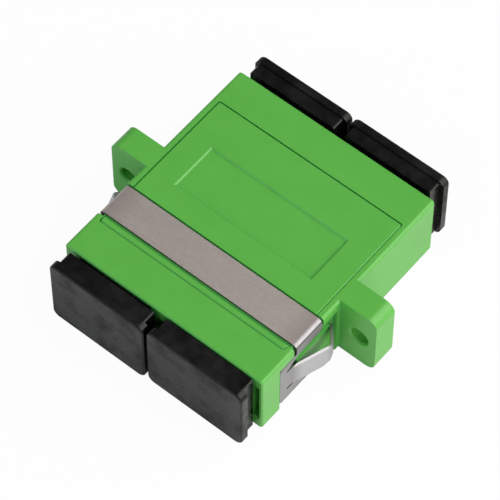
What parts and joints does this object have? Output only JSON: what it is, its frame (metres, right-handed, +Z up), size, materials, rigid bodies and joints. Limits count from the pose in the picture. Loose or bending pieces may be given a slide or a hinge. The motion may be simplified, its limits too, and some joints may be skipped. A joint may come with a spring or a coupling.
{
  "type": "sc fibre adapter",
  "caption": "Flanged green adapter that joins pairs of optical fibre connectors end to end, with a steel spring clip round the body and black dust plugs in the ports.",
  "frame": {"origin": "middle of the underside of the housing, in the middle plane of the flange", "axes": "+X across the two fibre axes towards the right ports, +Y along the fibres away from the clip side, +Z up to the cover"},
  "size_m": [0.0352, 0.0341, 0.0095],
  "materials": {
    "green_plastic": "satin moulded plastic",
    "sheet_steel": "rolled sheet steel, fine grain along the strip",
    "holder_plastic": "natural moulded plastic",
    "ceramic": "fine ground ceramic",
    "black_plastic": "soft satin moulded plastic"
  },
  "bodies": {
    "adapter": {"housing": "green_plastic", "cover": "green_plastic", "spring_clip": "sheet_steel", "latch_front_left": "holder_plastic", "latch_front_right": "holder_plastic", "latch_rear_left": "holder_plastic", "latch_rear_right": "holder_plastic", "sleeve_left": "ceramic", "sleeve_right": "ceramic"},
    "plug_front_left": {"dust_plug_front_left": "black_plastic"},
    "plug_front_right": {"dust_plug_front_right": "black_plastic"},
    "plug_rear_left": {"dust_plug_rear_left": "black_plastic"},
    "plug_rear_right": {"dust_plug_rear_right": "black_plastic"}
  },
  "joints": [
    {"name": "pull_front_left", "type": "slide", "parent": "adapter", "child": "plug_front_left", "axis": [0, -1, 0], "range_m": [-0.0003, 0.015]},
    {"name": "pull_front_right", "type": "slide", "parent": "adapter", "child": "plug_front_right", "axis": [0, -1, 0], "range_m": [-0.0001, 0.015]},
    {"name": "pull_rear_left", "type": "slide", "parent": "adapter", "child": "plug_rear_left", "axis": [0, 1, 0], "range_m": [-0.0004, 0.015]},
    {"name": "pull_rear_right", "type": "slide", "parent": "adapter", "child": "plug_rear_right", "axis": [0, 1, 0], "range_m": [-0.0004, 0.015]}
  ]
}
